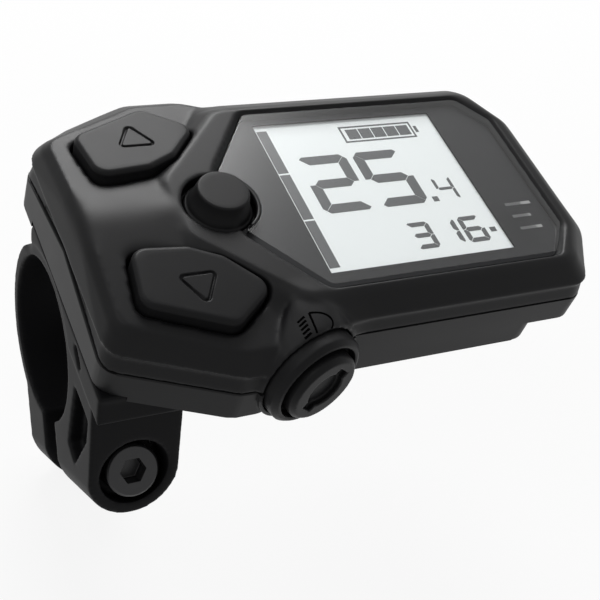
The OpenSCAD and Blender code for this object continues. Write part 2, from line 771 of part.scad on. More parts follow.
module main_board() color([0.1, 0.35, 0.18]) {
    difference() {
        translate([main_board_x, mid_y - main_board_half - lcd_frame_w, main_board_z])
            cube([main_board_l, 2 * main_board_half + lcd_frame_w, board_t]);
        at(main_screw_places) translate([0, 0, main_board_z - over])
            cylinder(h = board_t + 2 * over, r = screw_r + fit_gap);
        at(case_screw_places) translate([0, 0, main_board_z - over])
            cylinder(h = board_t + 2 * over, r = boss_r + fit_gap);
        light_cup(sleeve_wall + fit_gap);
    }
}

// Controller, radio, memory and power parts under the board, in shares of the board
chip_shares = [[0.32, 0.08, 0.19], [0.61, -0.24, 0.14], [0.59, 0.2, 0.11], [0.21, -0.27, 0.11]];
chip_h = 0.6;
module board_parts() color([0.05, 0.05, 0.06]) {
    for (s = chip_shares)
        translate([main_board_x + s[0] * main_board_l, mid_y + s[1] * 2 * main_board_half, main_board_z - chip_h])
            cube([s[2] * main_board_l, s[2] * main_board_l, chip_h]);
}

module switch_board() color([0.1, 0.35, 0.18]) {
    difference() {
        union() {
            translate([switch_board_x, mid_y - switch_board_half, switch_board_z])
                cube([switch_board_w, 2 * switch_board_half, board_t]);
            translate([switch_board_x, mid_y - tongue_half, switch_board_z])
                cube([switch_board_l, 2 * tongue_half, board_t]);
        }
        at(switch_screw_places) translate([0, 0, switch_board_z - over])
            cylinder(h = board_t + 2 * over, r = screw_r + fit_gap);
        for (p = saddle_screw_places) translate([p[0], p[1], switch_board_z - over])
            cylinder(h = board_t + 2 * over, r = screw_head_r + 2 * fit_gap);
    }
}

// Flat lead between the two boards, which climbs over the edge of the display's floor
ribbon_w = 4;
ribbon_d = 3.2;
ribbon_foot = 1.2;
module board_ribbon() color([0.75, 0.5, 0.2]) {
    low = switch_board_z + board_t;
    high = main_board_z + board_t;
    start = switch_board_x + switch_board_l;
    edge = part_step_x - wall;
    climb = disp_floor_z + ribbon_t;
    translate([0, mid_y + ribbon_d + ribbon_w, 0]) rotate([90, 0, 0]) linear_extrude(ribbon_w) polygon([
        [start - 2 * ribbon_foot, low], [start - ribbon_foot / 2, low], [edge - ribbon_t, climb],
        [main_board_x - ribbon_t, high], [main_board_x + ribbon_foot, high],
        [main_board_x + ribbon_foot, high + ribbon_t], [main_board_x - 2 * ribbon_t, high + ribbon_t],
        [edge - 2 * ribbon_t, climb + ribbon_t], [start - ribbon_foot / 2 - ribbon_t, low + ribbon_t],
        [start - 2 * ribbon_foot, low + ribbon_t]]);
}

plunger_share = 0.3;
post_share = 0.28;
module key_switches() color([0.2, 0.2, 0.2]) {
    for (p = switch_places) translate([p[0], mid_y + p[1], switch_board_z + board_t]) {
        translate([-switch_w / 2, -switch_w / 2, 0]) cube([switch_w, switch_w, switch_h]);
        cylinder(h = switch_h + plunger_h, r = switch_w * plunger_share);
    }
}

module light_board() color([0.1, 0.35, 0.18]) {
    light_frame() translate([0, 0, -light_depth - board_t]) cylinder(h = board_t, r = light_board_r);
}

module light_switch() color([0.2, 0.2, 0.2]) {
    light_frame() translate([0, 0, -light_depth]) {
        translate([-switch_w / 2, -switch_w / 2, 0]) cube([switch_w, switch_w, switch_h]);
        cylinder(h = switch_h + plunger_h, r = switch_w * plunger_share);
    }
}

thread_l = 1.2;
module board_screws() color([0.6, 0.6, 0.6]) {
    at(switch_screw_places) translate([0, 0, switch_board_z + board_t + screw_head_h])
        mirror([0, 0, 1]) small_screw(screw_head_h + board_t + thread_l);
    at(main_screw_places) translate([0, 0, main_board_z + board_t + screw_head_h])
        mirror([0, 0, 1]) small_screw(screw_head_h + board_t + thread_l);
}

case_screw_l = 5.5;
module case_screws() color([0.6, 0.6, 0.6]) {
    for (p = case_screw_places) translate([p[0], mid_y + p[1], p[2]]) small_screw(case_screw_l);
}

module cover_screws() color([0.6, 0.6, 0.6]) {
    at(cover_screw_places) translate([0, 0, base_z]) small_screw(cover_h + disp_floor_t / 2);
}

module case_seal() color([0.3, 0.3, 0.3]) {
    difference() {
        seal_ring();
        light_bore();
        at(case_screw_places) translate([0, 0, base_z]) cylinder(h = deck_h * 3, r = boss_r);
    }
}

mode_seal_t = 0.6;
mode_seal_w = 1.4;
mode_flange_w = 0.7;
mode_seal_r = mode_hole_r + mode_seal_w;
mode_flange_r = mode_hole_r + mode_flange_w;
module mode_seal() color([0.1, 0.1, 0.1]) {
    translate([mode_x, mid_y, ceiling_z - mode_seal_t]) difference() {
        cylinder(h = mode_seal_t, r = mode_seal_r);
        translate([0, 0, -over]) cylinder(h = mode_seal_t + 2 * over, r = mode_hole_r - fit_gap);
    }
}

module cable_socket() color([0.12, 0.12, 0.12]) {
    translate([socket_x, socket_y, base_z]) difference() {
        cylinder(h = socket_top - base_z, r = socket_r + socket_wall);
        translate([0, 0, -over]) cylinder(h = socket_depth + over, r = socket_r);
        for (side = [-1, 1]) translate([side * contact_off, 0, 0])
            cylinder(h = socket_depth + contact_h, r = contact_r + thread_gap);
    }
}

// Two contacts that lie flush in the socket's floor
contact_h = 0.6;
contact_r = 0.6;
contact_off = 1.1;
module socket_contacts() color([0.85, 0.7, 0.3]) {
    for (side = [-1, 1]) translate([socket_x + side * contact_off, socket_y, base_z + socket_depth])
        cylinder(h = contact_h, r = contact_r);
}

collar_lip = 1.2;
lip_gap = 0.15;
light_gap = 0.65;
light_flange_w = 1;
light_flange_r = light_r + light_flange_w;
collar_edge = 0.6;
module light_collar() color([0.15, 0.15, 0.16]) {
    light_frame() rotate_extrude() polygon([
        [light_r + light_gap, 0], [collar_r - collar_edge, 0], [collar_r, -collar_edge],
        [collar_r, -collar_l], [light_flange_r + lip_gap, -collar_l],
        [light_flange_r + lip_gap, -collar_lip], [light_r + light_gap, -collar_lip]]);
}

// A thumb key in the frame of its top, with a flange under the deck, a post and a sunk arrow
flange_t = 0.8;
flange_w = 0.8;
key_edge = 0.45;
flange_drop = 4.3;
arrow_share = 0.46;
arrow_x = key_x + key_l * arrow_share;
arrow_d = key_near + key_d / 2;
arrow_r = 2.6;
arrow_line = 0.35;
arrow_h = 0.2;
module arrow() {
    translate([arrow_x, arrow_d]) rotate(90) difference() {
        circle(r = arrow_r, $fn = 3);
        circle(r = arrow_r - 2 * arrow_line, $fn = 3);
    }
}
module thumb_key(side) {
    post_r = switch_w * post_share;
    post_low = switch_top + key_travel + press_gap;
    place = switch_places[side < 0 ? 0 : 1];
    on_key(side) {
        difference() {
            hull() {
                translate([0, 0, -flange_drop - flange_t]) linear_extrude(sliver) key_shape(0);
                translate([0, 0, -key_edge - sliver]) linear_extrude(sliver) key_shape(0);
                translate([0, 0, -sliver]) linear_extrude(sliver) key_shape(-key_edge);
            }
            translate([0, 0, -arrow_h]) linear_extrude(arrow_h + over) arrow();
        }
        translate([0, 0, -flange_drop - flange_t]) linear_extrude(flange_t) key_shape(flange_w);
    }
    translate([place[0], mid_y + place[1], post_low])
        cylinder(h = ceiling_z - deck_t - post_low, r = post_r);
}

module up_button() color([0.17, 0.17, 0.18]) thumb_key(1);
module down_button() color([0.17, 0.17, 0.18]) thumb_key(-1);

cap_edge = 0.4;
skirt_gap = 0.4;
skirt_h = 1.1;
module mode_button() color([0.17, 0.17, 0.18]) {
    flange_top = ceiling_z - mode_seal_t - key_gap;
    skirt_r = mode_hole_r - skirt_gap;
    skirt_z = deck_z - 2 * skirt_gap;
    post_low = switch_top + mode_travel + press_gap;
    post_r = switch_w * post_share;
    top = deck_z + mode_proud;
    translate([mode_x, mid_y, 0]) rotate_extrude() polygon([
        [0, post_low], [post_r, post_low], [post_r, flange_top - flange_t],
        [mode_flange_r, flange_top - flange_t], [mode_flange_r, flange_top], [skirt_r, flange_top],
        [skirt_r, skirt_z], [mode_r + cap_edge, skirt_z + skirt_h], [mode_r, top - cap_edge],
        [mode_r - cap_edge, top], [0, top]]);
}

light_edge = 0.5;
light_slot_l = 6.6;
light_slot_w = 2.2;
light_slot_h = 0.9;
light_dish_r = 2.6;
light_slot_deg = 45;
module light_button() color([0.18, 0.18, 0.19]) {
    post_r = switch_w * post_share;
    post_low = -light_depth + switch_h + plunger_h + light_travel + press_gap;
    flange_top = -collar_lip - lip_gap;
    light_frame() difference() {
        rotate_extrude() polygon([
            [0, post_low], [post_r, post_low], [post_r, flange_top - flange_t],
            [light_flange_r, flange_top - flange_t], [light_flange_r, flange_top], [light_r, flange_top],
            [light_r, light_proud - light_edge], [light_r - light_edge, light_proud], [0, light_proud]]);
        translate([0, 0, light_proud - light_slot_h]) rotate([0, 0, light_slot_deg])
            translate([-light_slot_l / 2, -light_slot_w / 2, 0])
            cube([light_slot_l, light_slot_w, light_slot_h + over]);
        translate([0, 0, light_proud - light_slot_h]) cylinder(h = light_slot_h + over, r = light_dish_r);
    }
}

upper_case();
lower_case();
bottom_cover();
clamp_bracket();
clamp_bolt();
clamp_nut();
saddle_screws();
display_window();
window_tape();
lcd_panel();
lcd_frame();
lcd_ribbon();
main_board();
board_parts();
switch_board();
board_ribbon();
key_switches();
light_board();
light_switch();
board_screws();
case_screws();
cover_screws();
case_seal();
mode_seal();
cable_socket();
socket_contacts();
light_collar();
up_button();
down_button();
mode_button();
light_button();
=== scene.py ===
"""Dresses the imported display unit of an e-bike for a picture: camera, light, finishes and fine forms."""
import json

import bmesh
import bpy
import numpy as np
from mathutils import Matrix, Vector
from mathutils.bvhtree import BVHTree

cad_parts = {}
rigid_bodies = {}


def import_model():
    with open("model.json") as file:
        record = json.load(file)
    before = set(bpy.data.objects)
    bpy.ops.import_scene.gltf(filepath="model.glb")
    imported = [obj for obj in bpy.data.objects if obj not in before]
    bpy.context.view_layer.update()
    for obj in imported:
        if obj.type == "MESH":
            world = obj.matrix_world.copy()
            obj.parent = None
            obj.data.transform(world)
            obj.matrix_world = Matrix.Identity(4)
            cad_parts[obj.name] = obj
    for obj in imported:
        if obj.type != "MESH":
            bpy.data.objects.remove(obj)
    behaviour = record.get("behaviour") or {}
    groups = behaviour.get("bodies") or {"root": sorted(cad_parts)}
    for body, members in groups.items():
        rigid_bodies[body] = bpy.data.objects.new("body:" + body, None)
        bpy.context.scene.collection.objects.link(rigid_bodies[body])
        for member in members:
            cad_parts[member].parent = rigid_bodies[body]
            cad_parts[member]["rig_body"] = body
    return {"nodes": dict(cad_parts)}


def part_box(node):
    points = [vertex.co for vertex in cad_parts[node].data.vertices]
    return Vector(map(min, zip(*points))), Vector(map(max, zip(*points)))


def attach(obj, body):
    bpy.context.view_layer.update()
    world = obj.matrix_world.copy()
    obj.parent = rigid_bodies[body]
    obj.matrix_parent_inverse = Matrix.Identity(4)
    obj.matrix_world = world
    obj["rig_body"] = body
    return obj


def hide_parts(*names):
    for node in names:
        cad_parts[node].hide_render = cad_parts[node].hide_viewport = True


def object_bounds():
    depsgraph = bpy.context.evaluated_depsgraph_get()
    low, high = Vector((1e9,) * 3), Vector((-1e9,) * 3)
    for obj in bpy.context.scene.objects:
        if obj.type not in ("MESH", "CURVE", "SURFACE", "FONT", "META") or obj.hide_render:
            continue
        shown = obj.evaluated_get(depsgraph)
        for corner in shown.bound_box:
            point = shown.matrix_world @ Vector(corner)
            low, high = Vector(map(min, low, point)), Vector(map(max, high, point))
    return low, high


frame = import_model()
cad_low, cad_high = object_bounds()
nodes = frame["nodes"]
mm = 0.001

# Camera: a long lens above the rider's left hand, set so that the unit's straight edges fall where
# the photograph has them. Its place is measured from the centre of the clamp's bore.
camera = bpy.data.objects.new("camera", bpy.data.cameras.new("camera"))
bpy.context.scene.collection.objects.link(camera)
bpy.context.scene.camera = camera
camera.data.lens, camera.data.sensor_width = 72.35, 36
camera.data.clip_start, camera.data.clip_end = 10 * mm, 10
camera_place = Vector((-47.02, -94.57, 126.72)) * mm
look = Vector((0.4508, 0.5333, -0.7158)).normalized()
camera_top = Vector((0.1341, 0.7523, 0.6450))
camera_side = look.cross(camera_top).normalized()
camera_turn = Matrix((camera_side, camera_side.cross(look), -look)).transposed().to_4x4()
camera.matrix_world = Matrix.Translation(camera_place) @ camera_turn

# Studio: a white paper floor under a white tent. The tent is bright near the horizon and dim
# overhead, so level faces turn lighter towards the back. Two soft lamps add the gleams, one from
# behind and one from the left. The camera, and whatever mirrors, sees plain white all round.
bpy.context.scene.view_settings.view_transform = "Standard"


def graph(owner):
    """Empties the node tree of a material or world, and returns what adds a node and what links two
    sockets. A node's settings are properties of its own, or else the values of its inputs."""
    owner.use_nodes = True
    tree = owner.node_tree
    tree.nodes.clear()

    def add(kind, **settings):
        node = tree.nodes.new(kind)
        for key, value in settings.items():
            if hasattr(node, key):
                setattr(node, key, value)
            else:
                node.inputs[key.replace("_", " ")].default_value = value
        return node

    return add, tree.links.new


def white_ray(add, link):
    """One for a ray that comes from the camera or out of a glossy or a clear surface, else nought:
    the three values of the light path are added and held to one."""
    ray = add("ShaderNodeLightPath")
    total = ray.outputs["Is Camera Ray"]
    for kind in ("Is Glossy Ray", "Is Transmission Ray"):
        either = add("ShaderNodeMath", operation="ADD", use_clamp=True)
        link(total, either.inputs[0])
        link(ray.outputs[kind], either.inputs[1])
        total = either.outputs[0]
    return total


def mixed(add, link, share, first, second):
    """A mix of two shaders, of which the second has the share and the first has the rest."""
    both = add("ShaderNodeMixShader")
    link(share, both.inputs[0])
    link(first, both.inputs[1])
    link(second, both.inputs[2])
    return both.outputs[0]


world = bpy.data.worlds.new("tent")
bpy.context.scene.world = world
add, link = graph(world)
direction, split = add("ShaderNodeTexCoord"), add("ShaderNodeSeparateXYZ")
tent = add("ShaderNodeValToRGB")
tent_stops = [(0.0, 0.6), (0.35, 0.55), (0.62, 0.28), (1.0, 0.22)]
while len(tent.color_ramp.elements) < len(tent_stops):
    tent.color_ramp.elements.new(1)
for stop, (height, grey) in zip(tent.color_ramp.elements, tent_stops):
    stop.position, stop.color = height, (grey, grey, grey, 1)
white = add("ShaderNodeBackground", Color=(1, 1, 1, 1), Strength=1.0)
glow = add("ShaderNodeBackground", Strength=0.9)
link(direction.outputs["Generated"], split.inputs[0])
link(split.outputs["Z"], tent.inputs[0])
link(tent.outputs[0], glow.inputs["Color"])
sky = mixed(add, link, white_ray(add, link), glow.outputs[0], white.outputs[0])
link(sky, add("ShaderNodeOutputWorld").inputs[0])


def lamp(name, place, size, power):
    """A square soft lamp that faces the unit."""
    light = bpy.data.lights.new(name, "AREA")
    light.size, light.energy = size, power
    holder = bpy.data.objects.new(name, light)
    bpy.context.scene.collection.objects.link(holder)
    aim = (cad_low + cad_high) / 2 - Vector(place)
    turn = aim.to_track_quat("-Z", "Y").to_matrix().to_4x4()
    holder.matrix_world = Matrix.Translation(Vector(place)) @ turn


lamp("lamp_back", (0.13, 0.5, 0.33), 0.3, 4.2)
lamp("lamp_left", (-0.3, 0.05, 0.5), 0.3, 0.5)


def grid_mesh(name, points, tube=False):
    """A smooth mesh from an array of rows of points: each four neighbours make a face. In a tube each
    row closes on itself, and the first and the last row are each filled by one face."""
    rows, columns = points.shape[:2]
    index = np.arange(rows * columns).reshape(rows, columns)
    ends = []
    if tube:
        ends = [index[0, ::-1].tolist(), index[-1].tolist()]
        index = np.concatenate([index, index[:, :1]], axis=1)
    corners = [index[:-1, :-1], index[:-1, 1:], index[1:, 1:], index[1:, :-1]]
    faces = np.stack(corners, -1).reshape(-1, 4).tolist() + ends
    mesh = bpy.data.meshes.new(name)
    mesh.from_pydata(points.reshape(-1, 3).tolist(), [], faces)
    mesh.polygons.foreach_set("use_smooth", np.ones(len(faces), bool))
    mesh.update()
    return mesh


def placed(name, mesh, material):
    """A new object at the origin that carries the mesh and its material."""
    piece = bpy.data.objects.new(name, mesh)
    bpy.context.scene.collection.objects.link(piece)
    piece.data.materials.append(material)
    return piece


floor_half, paper_glow = 3.0, 0.88
floor_steps = np.linspace(-floor_half, floor_half, 3)
floor_grid = np.stack([*np.meshgrid(floor_steps, floor_steps), np.full((3, 3), cad_low.z)], -1)
paper = bpy.data.materials.new("white_paper")
add, link = graph(paper)
coordinates, fibres = add("ShaderNodeTexCoord"), add("ShaderNodeTexNoise", Scale=400.0)
lift = add("ShaderNodeBump", Strength=0.2, Distance=0.0001)
sheet = add("ShaderNodeBsdfDiffuse", Color=(0.8, 0.8, 0.8, 1))
bright = add("ShaderNodeEmission", Color=(1, 1, 1, 1), Strength=1.0)
share = add("ShaderNodeMath", operation="MULTIPLY")
share.inputs[1].default_value = paper_glow
link(coordinates.outputs["Object"], fibres.inputs["Vector"])
link(fibres.outputs[0], lift.inputs["Height"])
link(lift.outputs[0], sheet.inputs["Normal"])
link(white_ray(add, link), share.inputs[0])
surface = mixed(add, link, share.outputs[0], sheet.outputs[0], bright.outputs[0])
link(surface, add("ShaderNodeOutputMaterial").inputs[0])
floor = placed("floor", grid_mesh("floor", floor_grid), paper)

# Case: two shells and a cover, moulded in black plastic with a fine spark-eroded texture. The upper
# shell carries the deck and its flanks, the lower one the walls, and four screws close them.


def moulding(name, colour, rough, grain, depth, spot=6.0, metal=0.0, spread=0.12, sheen=0.5):
    """A finish whose surface is lifted by noise of the grain's size, up to the depth, both in mm. Over
    spots of a larger size its colour drifts by the spread to either side, and its roughness by half
    of that."""
    material = bpy.data.materials.new(name)
    add, link = graph(material)
    coordinates = add("ShaderNodeTexCoord")
    fine = add("ShaderNodeTexNoise", Scale=1 / (grain * mm), Detail=2.0)
    wide = add("ShaderNodeTexNoise", Scale=1 / (spot * mm), Detail=3.0)
    dark, light = ([c * k for c in colour] + [1] for k in (1 - spread, 1 + spread))
    tint = add("ShaderNodeMix", data_type="RGBA")
    tint.inputs["A"].default_value, tint.inputs["B"].default_value = dark, light
    gloss = add("ShaderNodeMapRange")
    gloss.inputs["To Min"].default_value = rough * (1 - spread / 2)
    gloss.inputs["To Max"].default_value = rough * (1 + spread / 2)
    bump = add("ShaderNodeBump", Strength=1.0, Distance=depth * mm)
    body = add("ShaderNodeBsdfPrincipled", Metallic=metal, Specular_IOR_Level=sheen)
    out = add("ShaderNodeOutputMaterial")
    link(coordinates.outputs["Object"], fine.inputs["Vector"])
    link(coordinates.outputs["Object"], wide.inputs["Vector"])
    link(wide.outputs[0], tint.inputs["Factor"])
    link(wide.outputs[0], gloss.inputs["Value"])
    link(fine.outputs[0], bump.inputs["Height"])
    link(tint.outputs["Result"], body.inputs["Base Color"])
    link(gloss.outputs[0], body.inputs["Roughness"])
    link(bump.outputs[0], body.inputs["Normal"])
    link(body.outputs[0], out.inputs[0])
    return material


def points_of(mesh):
    """The places of a mesh's points, in one row each."""
    flat = np.empty(3 * len(mesh.vertices))
    mesh.vertices.foreach_get("co", flat)
    return flat.reshape(-1, 3)


def skin_of(mesh):
    """The faces of a mesh, as a tree that finds the nearest of them and the one a ray meets."""
    return BVHTree.FromPolygons([v.co for v in mesh.vertices], [list(f.vertices) for f in mesh.polygons])


def merged(node, distance):
    """A CAD node's faces with points closer than the distance in mm joined, and a copy of its mesh
    without stored normals, to write them to."""
    mesh = nodes[node].data.copy()
    for layer in [a for a in mesh.attributes if a.name == "custom_normal"]:
        mesh.attributes.remove(layer)
    shell = bmesh.new()
    shell.from_mesh(mesh)
    bmesh.ops.remove_doubles(shell, verts=shell.verts, dist=distance * mm)
    return shell, mesh


def stand_in(piece, node):
    """Puts a piece in the place of a CAD node, on the node's body and with the slot's name."""
    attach(piece, nodes[node]["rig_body"])
    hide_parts(node)
    return piece


def moulded(node, name, material, cell, passes, soft=(), free=lambda points: 1):
    """Stands for a CAD node, with every edge soft as it leaves a polished mould: a copy is cut into
    square cells of one size, and each point then moves half way to the mean of its neighbours, pass
    after pass. Round each soft place (x, y, z, radius, passes, swell) further passes melt the forms
    together, with a share that falls from one to nought over the radius, and the skin then moves
    out along its normals by that share of the swell in mm. Each share is cut down by what the free
    function gives, which is nought where the skin has to stay as it is."""
    shell, source = merged(node, 0.002)
    shell.to_mesh(source)
    shell.free()
    whole = bpy.data.objects.new("block", source)
    bpy.context.scene.collection.objects.link(whole)
    cells = whole.modifiers.new("cells", "REMESH")
    cells.mode, cells.voxel_size, cells.adaptivity = "VOXEL", cell * mm, 0
    mesh = bpy.data.meshes.new_from_object(whole.evaluated_get(bpy.context.evaluated_depsgraph_get()))
    mesh.name = name
    bpy.data.objects.remove(whole)
    lines = np.empty(2 * len(mesh.edges), np.int32)
    mesh.edges.foreach_get("vertices", lines)
    one, two = lines.reshape(-1, 2).T
    points = points_of(mesh)
    count = np.bincount(np.concatenate([one, two]), minlength=len(points))[:, None]

    def eased(points, share):
        total = [np.bincount(one, points[two, k], len(points))
                 + np.bincount(two, points[one, k], len(points)) for k in range(3)]
        return points + 0.5 * share * (np.stack(total, -1) / count - points)

    for _ in range(passes):
        points = eased(points, 1)
    mesh.polygons.foreach_set("use_smooth", np.ones(len(mesh.polygons), bool))
    for *place, radius, further, swell in soft:
        reach = np.linalg.norm(points - np.array(place) * mm, axis=1)[:, None] / (radius * mm)
        share = np.clip(1 - reach, 0, 1)
        share = share * share * (3 - 2 * share) * free(points / mm)
        for _ in range(further):
            points = eased(points, share)
        mesh.vertices.foreach_set("co", points.ravel())
        mesh.update()
        outward = np.empty(points.size, np.float32)
        mesh.vertex_normals.foreach_get("vector", outward)
        points = points + outward.reshape(-1, 3) * share * swell * mm
    mesh.vertices.foreach_set("co", points.ravel())
    mesh.materials.clear()
    mesh.update()
    return stand_in(placed(name, mesh, material), node)


def softened(node, name, material, edge, steps=3):
    """Stands for a CAD node: a copy with its points merged, whose edges sharper than the least angle
    are rounded by a live Bevel of the edge's width in mm. An edge stays sharp where its round would
    leave the skin, by points further off than the round may lie, or would fold a face over. Trial
    by trial, the points of the stray lines that lie near the skin take the round from every edge
    that ends near them."""
    least, stray_off, skin_reach, corner_reach = 28.0, 0.6 * edge + 0.02, 1.5 * edge, 1.3 * edge
    skin = skin_of(nodes[node].data)
    shell, mesh = merged(node, 0.02)
    mesh.name = name
    weight = shell.edges.layers.float.new("bevel_weight_edge")
    for line in shell.edges:
        line[weight] = line.is_manifold and line.calc_face_angle(0) > np.radians(least)
    shell.to_mesh(mesh)
    shell.free()
    mesh.polygons.foreach_set("use_smooth", np.ones(len(mesh.polygons), bool))
    mesh.materials.clear()
    piece = placed(name, mesh, material)
    rounding = piece.modifiers.new("rounded edges", "BEVEL")
    rounding.width, rounding.segments = edge * mm, steps
    rounding.limit_method, rounding.use_clamp_overlap = "WEIGHT", False
    rounding.harden_normals, rounding.loop_slide = True, False
    ends = np.array([line.vertices[:] for line in mesh.edges])
    corners = points_of(mesh)
    weights = np.zeros(len(ends), np.float32)
    mesh.attributes["bevel_weight_edge"].data.foreach_get("value", weights)
    steep = weights > 0
    for _ in range(6):
        rounded = piece.evaluated_get(bpy.context.evaluated_depsgraph_get()).to_mesh()
        points = points_of(rounded)
        lines = np.array([line.vertices[:] for line in rounded.edges])
        off = np.array([skin.find_nearest(Vector(point))[3] for point in points])
        stray = off > stray_off * mm
        for face in rounded.polygons:
            if face.normal.dot(skin.find_nearest(face.center)[1]) < 0:
                stray[list(face.vertices)] = True
        if not stray.any():
            break
        beside = np.unique(lines[stray[lines].any(1)])
        beside = beside[off[beside] < skin_reach * mm]
        gap = np.linalg.norm(points[beside][:, None] - corners[None], axis=2)
        near = np.zeros(len(corners), bool)
        near[np.nonzero(gap < corner_reach * mm)[1]] = True
        weights[near[ends].any(1)] = 0
        mesh.attributes["bevel_weight_edge"].data.foreach_set("value", weights)
        mesh.update()
        piece.update_tag()
    mesh.edges.foreach_set("use_edge_sharp", steep & (weights == 0))
    mesh.update()
    return stand_in(piece, node)


cap_low, cap_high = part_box("light_button")
bore_axis, bore_r, bore_start = np.array((-0.25846, 0.96460, -0.05234)), 7.3, -0.6
bore_middle = np.array((cap_low + cap_high) / 2 / mm) + bore_start * bore_axis


def clear_of_bore(points):
    """Nought in the light button's bore behind its collar's lip, so that the pressed button stays
    clear of the shell, and one outside: it rises over 1 mm of distance from the bore's wall."""
    along = (points - bore_middle) @ bore_axis
    off = np.linalg.norm(points - bore_middle - along[:, None] * bore_axis, axis=1)
    return np.where(along > 0, np.clip(off - bore_r, 0, 1), 1)[:, None]


case_black = moulding("case_black", (0.006, 0.006, 0.0065), 0.42, 0.16, 0.006, sheen=0.13)
lower_black = moulding("lower_black", (0.012, 0.012, 0.0125), 0.45, 0.16, 0.006, sheen=0.13)
cowl = (18.5, -23.0, 21.0, 9.0, 45, 0.9)
ridge, ridge_end = (1.0, -2.4, 25.4, 8.0, 160, 0), (-5, -2.4, 24, 5, 60, 0)
front_corner, back_corner = (63, -14, 20, 8, 60, 0.1), (60, 15, 22, 8, 40, 0.1)
upper_shell = moulded("upper_case", "upper_shell", case_black, 0.25, 6,
                      (cowl, ridge, ridge_end, front_corner, back_corner), clear_of_bore)
neck, creases, pushes = (15, 21), (20.5, 23.0), (1.0, 0.6)
scoop_to_deck, left_to_right, middle_to_back = (-2.0, -0.5, 0, 2.4), (-6.3, -0.3, 58, 62), (11, 13.5)


def lean_back(points):
    """The flank at the back, leaned out: each point moves along Y by the push, which is whole at the
    crease. It fades to nought at the deck's edge above, at the scoop below, at both ends of the
    case and towards its middle. Over the neck the crease and the push run from the pod's values
    to the display's."""
    x, y, z = points.T
    rise = np.interp(z - np.interp(x, neck, creases), scoop_to_deck, (0, 1, 1, 0))
    share = rise * np.interp(x, left_to_right, (0, 1, 1, 0)) * np.interp(y, middle_to_back, (0, 1))
    return points + np.stack([0 * x, np.interp(x, neck, pushes) * share, 0 * x], -1)


leaned = lean_back(points_of(upper_shell.data) / mm) * mm
upper_shell.data.vertices.foreach_set("co", leaned.ravel())
upper_shell.data.update()
softened("lower_case", "lower_shell", lower_black, 0.2)
softened("bottom_cover", "cover_shell", lower_black, 0.2)

# Clamp: a split ring, a saddle and two ears in one glass-filled moulding. The ring's bore takes
# the handlebar, and the socket head bolt in the near ear draws the ears together.
clamp_black = moulding("clamp_black", (0.004, 0.004, 0.0045), 0.5, 0.22, 0.008, sheen=0.08)
bolt_black = moulding("bolt_black", (0.012, 0.012, 0.013), 0.38, 0.3, 0.004, metal=0.3)
saddle_end = (-6.3, 11.5, 9.7, 4.0, 80, -0.9)
moulded("clamp_bracket", "clamp_body", clamp_black, 0.26, 5, (saddle_end,))
softened("clamp_bolt", "bolt_body", bolt_black, 0.12)


def finish(material, *names):
    """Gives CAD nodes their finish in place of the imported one."""
    for name in names:
        nodes[name].data.materials.clear()
        nodes[name].data.materials.append(material)


zinc = moulding("zinc_plate", (0.56, 0.56, 0.57), 0.32, 0.5, 0.003, metal=1.0)
finish(zinc, "clamp_nut", "saddle_screws", "board_screws", "case_screws", "cover_screws")

# Glass: one pane of hardened glass, flush with the deck. A black print on its underside leaves a
# clear window for the panel, and a foam frame glues it to the ledge of the upper shell.
window_low, window_high = (23.3, -14.95), (51.35, 11.7)
print_rise, ink_gap = 0.3, 0.02
print_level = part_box("display_window")[0].z / mm + print_rise
pane = bpy.data.materials.new("printed_glass")
add, link = graph(pane)
coordinates, place = add("ShaderNodeTexCoord"), add("ShaderNodeSeparateXYZ")
link(coordinates.outputs["Object"], place.inputs[0])


def compared(axis, operation, limit):
    """One where the coordinate is past the limit in mm, else nought."""
    test = add("ShaderNodeMath", operation=operation)
    link(place.outputs[axis], test.inputs[0])
    test.inputs[1].default_value = limit * mm
    return test.outputs[0]


def product(*values):
    """The product of several values, which is their logical and."""
    total = values[0]
    for value in values[1:]:
        times = add("ShaderNodeMath", operation="MULTIPLY")
        link(total, times.inputs[0])
        link(value, times.inputs[1])
        total = times.outputs[0]
    return total


def inverse(value):
    """One less the value, which is its logical not."""
    less = add("ShaderNodeMath", operation="SUBTRACT")
    less.inputs[0].default_value = 1
    link(value, less.inputs[1])
    return less.outputs[0]


inside = product(compared("X", "GREATER_THAN", window_low[0]), compared("X", "LESS_THAN", window_high[0]),
                 compared("Y", "GREATER_THAN", window_low[1]), compared("Y", "LESS_THAN", window_high[1]))
printed = product(inverse(inside), compared("Z", "LESS_THAN", print_level))
clear = add("ShaderNodeBsdfTransparent", Color=(0.97, 0.98, 0.98, 1))
haze = add("ShaderNodeTexNoise", Scale=90.0)
smear = add("ShaderNodeMapRange")
smear.inputs["To Min"].default_value, smear.inputs["To Max"].default_value = 0.24, 0.28
shine, edge_shine = add("ShaderNodeBsdfGlossy"), add("ShaderNodeFresnel", IOR=1.5)
faces = add("ShaderNodeNewGeometry")
ink = add("ShaderNodeBsdfPrincipled", Roughness=0.5, Specular_IOR_Level=0.1)
ink.inputs["Base Color"].default_value = (0.008, 0.008, 0.009, 1)
link(coordinates.outputs["Object"], haze.inputs["Vector"])
link(haze.outputs[0], smear.inputs["Value"])
link(smear.outputs[0], shine.inputs["Roughness"])
mirror = product(edge_shine.outputs[0], inverse(faces.outputs["Backfacing"]))
pane_face = mixed(add, link, mirror, clear.outputs[0], shine.outputs[0])
film = mixed(add, link, printed, pane_face, ink.outputs[0])
link(film, add("ShaderNodeOutputMaterial").inputs[0])
glass = softened("display_window", "glass_pane", pane, 0.08, steps=2)
corner = points_of(glass.data)
corner[corner[:, 2] < print_level * mm, 2] += ink_gap * mm
glass.data.vertices.foreach_set("co", corner.ravel())
finish(moulding("black_foam", (0.02, 0.02, 0.02), 0.9, 0.25, 0.03), "window_tape")

